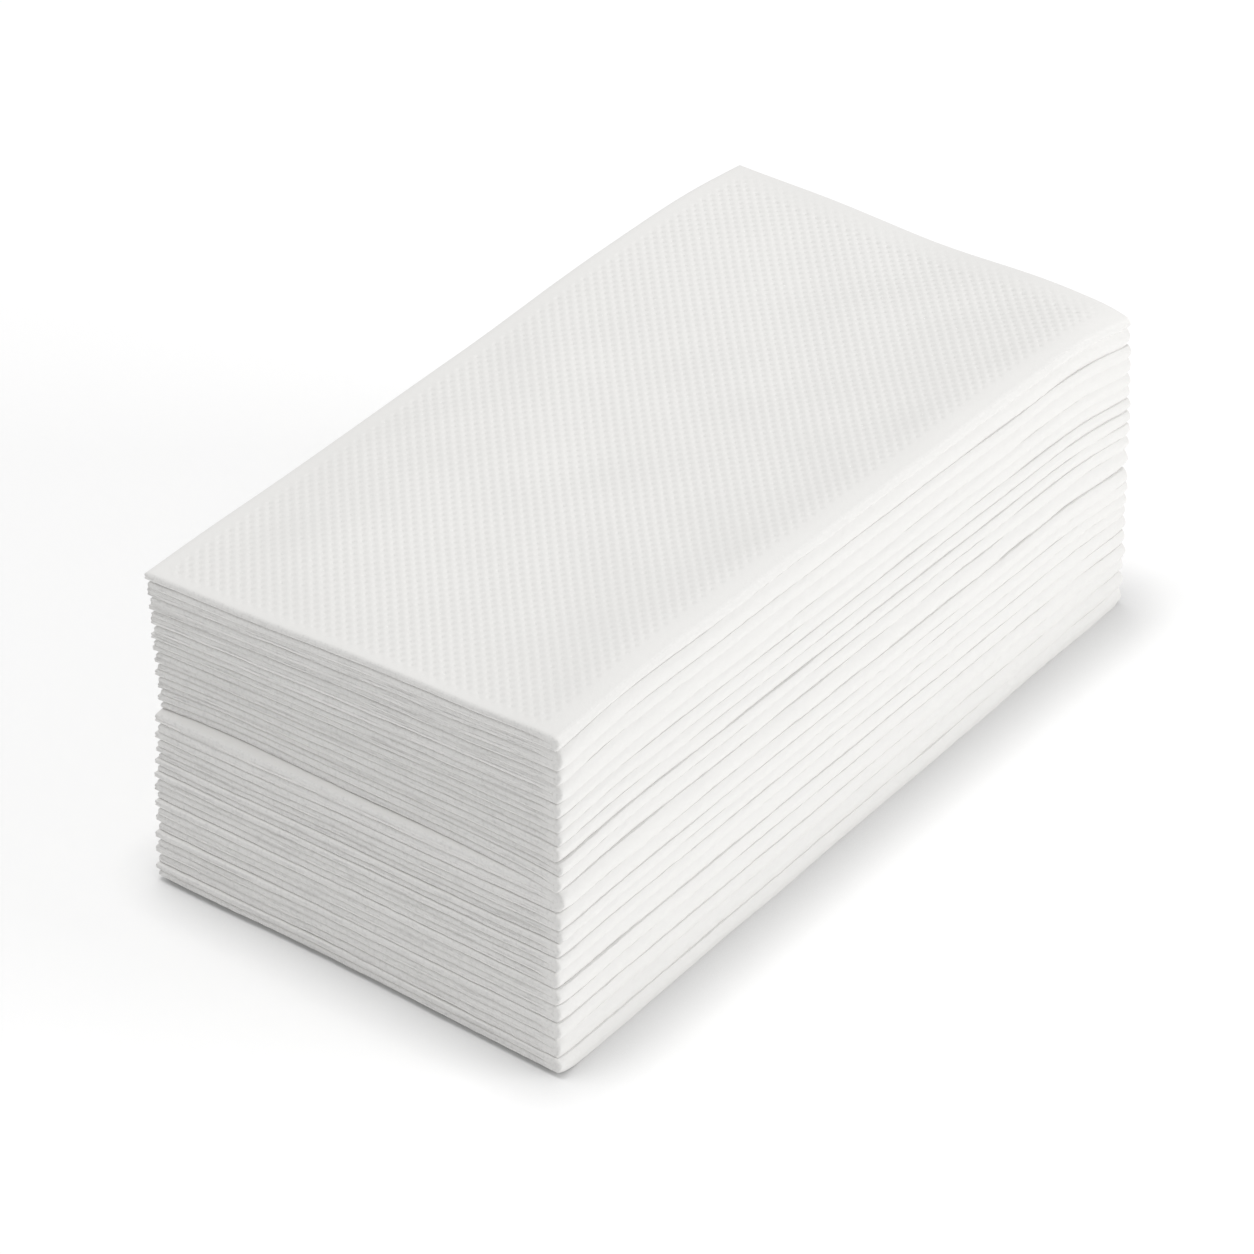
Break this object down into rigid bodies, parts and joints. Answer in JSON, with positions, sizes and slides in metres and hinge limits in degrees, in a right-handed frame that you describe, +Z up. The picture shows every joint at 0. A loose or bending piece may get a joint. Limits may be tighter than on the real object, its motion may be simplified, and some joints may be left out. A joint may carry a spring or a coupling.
{
  "type": "stack of paper napkins",
  "caption": "Stack of white folded paper napkins lying flat on each other, spine folds together on one long side, for setting tables.",
  "frame": {"origin": "under the middle of the stack, on the surface that it lies on", "axes": "+X along the napkins from their cut edges to their cross folds, +Y across them from the spine folds to the open side, +Z up"},
  "size_m": [0.2028, 0.104, 0.0765],
  "materials": {
    "tissue": "matt embossed tissue"
  },
  "bodies": {
    "root": {"napkin_01": "tissue", "napkin_02": "tissue", "napkin_03": "tissue", "napkin_04": "tissue", "napkin_05": "tissue", "napkin_06": "tissue", "napkin_07": "tissue", "napkin_08": "tissue", "napkin_09": "tissue", "napkin_10": "tissue", "napkin_11": "tissue", "napkin_12": "tissue", "napkin_13": "tissue", "napkin_14": "tissue", "napkin_15": "tissue", "napkin_16": "tissue", "napkin_17": "tissue", "napkin_18": "tissue", "napkin_19": "tissue", "napkin_20": "tissue", "napkin_21": "tissue"}
  },
  "joints": []
}
